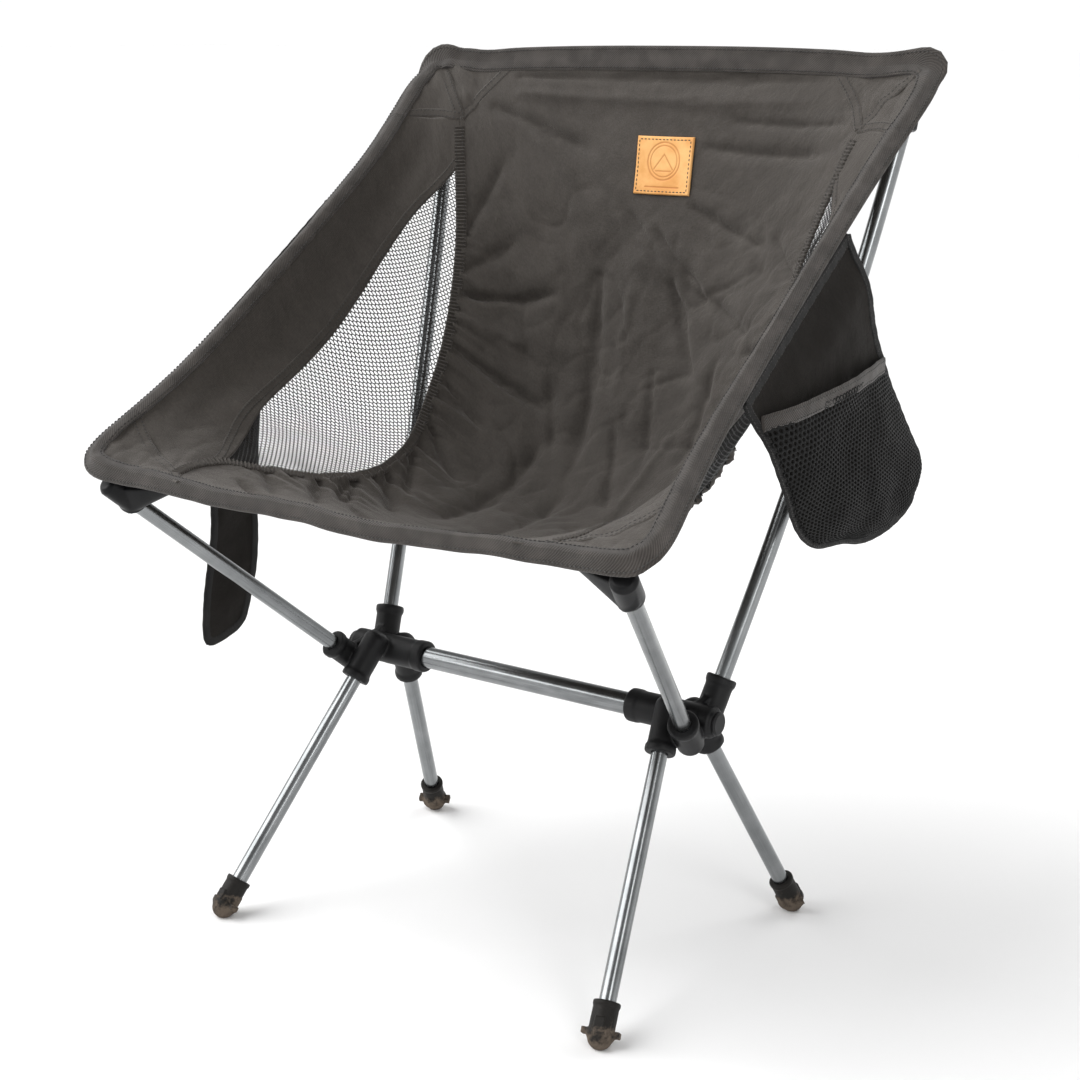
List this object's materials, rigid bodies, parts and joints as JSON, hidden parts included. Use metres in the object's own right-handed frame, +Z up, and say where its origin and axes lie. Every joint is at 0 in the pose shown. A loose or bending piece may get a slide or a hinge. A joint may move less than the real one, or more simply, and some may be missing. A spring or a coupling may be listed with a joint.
{
  "type": "camp stool",
  "caption": "Low folding-pole camp stool with a reclined fabric sling seat, crossed aluminium poles in two moulded hubs, net side panels and hanging side pockets.",
  "frame": {"origin": "on the floor under the middle of the overall box", "axes": "+Z up, -Y towards the front of the seat, +X to the right as seen from the front"},
  "size_m": [0.5278, 0.4289, 0.6795],
  "materials": {
    "pole_aluminium": "satin anodised tube, silver grey",
    "moulded_black": "moulded glass-filled nylon, fine matt grain",
    "foot_rubber": "worn rubber with brown dust",
    "elastic_cord": "braided elastic cord",
    "seat_cloth": "plain woven polyester, warm charcoal, soft creases",
    "edge_tape": "twill tape folded over the edge, stitched twice",
    "net": "black open net",
    "pocket_cloth": "black woven cloth",
    "pocket_black": "smooth coated cloth, stiff, black",
    "label_leather": "tan leather, pressed ring mark"
  },
  "bodies": {
    "frame": {"hub_left": "moulded_black", "hub_cap_left": "moulded_black", "pole_front_left": "pole_aluminium", "pole_back_lower_left": "pole_aluminium", "pole_back_upper_left": "pole_aluminium", "ferrule_left": "pole_aluminium", "pole_cord_left": "elastic_cord", "tip_cap_front_left": "moulded_black", "tip_cap_back_left": "moulded_black", "leg_cord_front_left": "elastic_cord", "leg_cord_back_left": "elastic_cord", "hub_right": "moulded_black", "hub_cap_right": "moulded_black", "pole_front_right": "pole_aluminium", "pole_back_lower_right": "pole_aluminium", "pole_back_upper_right": "pole_aluminium", "ferrule_right": "pole_aluminium", "pole_cord_right": "elastic_cord", "tip_cap_front_right": "moulded_black", "tip_cap_back_right": "moulded_black", "leg_cord_front_right": "elastic_cord", "leg_cord_back_right": "elastic_cord", "crossbar_cord": "elastic_cord", "seat_panel": "seat_cloth", "side_band_left": "seat_cloth", "side_net_left": "net", "hem_side_left": "edge_tape", "side_band_right": "seat_cloth", "side_net_right": "net", "hem_side_right": "edge_tape", "hem_front": "edge_tape", "hem_top": "edge_tape", "label": "label_leather"},
    "crossbar": {"crossbar": "pole_aluminium"},
    "leg_front_left": {"leg_front_left": "pole_aluminium", "foot_front_left": "foot_rubber"},
    "corner_front_left": {"corner_cup_front_left": "pocket_black", "corner_patch_front_left": "seat_cloth", "corner_hem_front_left": "edge_tape"},
    "leg_front_right": {"leg_front_right": "pole_aluminium", "foot_front_right": "foot_rubber"},
    "corner_front_right": {"corner_cup_front_right": "pocket_black", "corner_patch_front_right": "seat_cloth", "corner_hem_front_right": "edge_tape"},
    "leg_back_left": {"leg_back_left": "pole_aluminium", "foot_back_left": "foot_rubber"},
    "corner_back_left": {"corner_cup_back_left": "pocket_black", "corner_patch_back_left": "seat_cloth", "corner_hem_back_left": "edge_tape"},
    "leg_back_right": {"leg_back_right": "pole_aluminium", "foot_back_right": "foot_rubber"},
    "corner_back_right": {"corner_cup_back_right": "pocket_black", "corner_patch_back_right": "seat_cloth", "corner_hem_back_right": "edge_tape"},
    "pocket_left": {"pocket_panel_left": "pocket_cloth", "pocket_net_left": "net"},
    "pocket_right": {"pocket_panel_right": "pocket_cloth", "pocket_net_right": "net"}
  },
  "joints": [
    {"name": "crossbar_spin", "type": "hinge", "parent": "frame", "child": "crossbar", "pos_m": [0, 0.0116, 0.1897], "axis": [1, 0, 0], "continuous": true},
    {"name": "leg_pull_front_left", "type": "slide", "parent": "frame", "child": "leg_front_left", "axis": [-0.1597, -0.6029, -0.7817], "range_m": [0, 0.034], "stiffness_N_per_m": 150, "springref_m": -0.02, "deforming": ["leg_cord_front_left"]},
    {"name": "leg_pull_front_right", "type": "slide", "parent": "frame", "child": "leg_front_right", "axis": [0.1597, -0.6029, -0.7817], "range_m": [0, 0.034], "stiffness_N_per_m": 150, "springref_m": -0.02, "deforming": ["leg_cord_front_right"]},
    {"name": "leg_pull_back_left", "type": "slide", "parent": "frame", "child": "leg_back_left", "axis": [-0.2027, 0.4443, -0.8726], "range_m": [0, 0.034], "stiffness_N_per_m": 150, "springref_m": -0.02, "deforming": ["leg_cord_back_left"]},
    {"name": "leg_pull_back_right", "type": "slide", "parent": "frame", "child": "leg_back_right", "axis": [0.2027, 0.4443, -0.8726], "range_m": [0, 0.034], "stiffness_N_per_m": 150, "springref_m": -0.02, "deforming": ["leg_cord_back_right"]},
    {"name": "corner_pull_front_left", "type": "slide", "parent": "frame", "child": "corner_front_left", "axis": [-0.2512, -0.7176, 0.6495], "range_m": [0, 0.02], "stiffness_N_per_m": 400, "springref_m": -0.02},
    {"name": "corner_pull_front_right", "type": "slide", "parent": "frame", "child": "corner_front_right", "axis": [0.2512, -0.7176, 0.6495], "range_m": [0, 0.02], "stiffness_N_per_m": 400, "springref_m": -0.02},
    {"name": "corner_pull_back_left", "type": "slide", "parent": "frame", "child": "corner_back_left", "axis": [-0.1088, 0.3089, 0.9449], "range_m": [0, 0.02], "stiffness_N_per_m": 400, "springref_m": -0.02},
    {"name": "corner_pull_back_right", "type": "slide", "parent": "frame", "child": "corner_back_right", "axis": [0.1088, 0.3089, 0.9449], "range_m": [0, 0.02], "stiffness_N_per_m": 400, "springref_m": -0.02},
    {"name": "pocket_swing_left", "type": "hinge", "parent": "frame", "child": "pocket_left", "pos_m": [-0.25, -0.00939, 0.4957], "axis": [0, 0.8261, 0.5636], "range_deg": [-7, 80]},
    {"name": "pocket_swing_right", "type": "hinge", "parent": "frame", "child": "pocket_right", "pos_m": [0.25, -0.00939, 0.4957], "axis": [0, -0.8261, -0.5636], "range_deg": [-7, 80]}
  ]
}
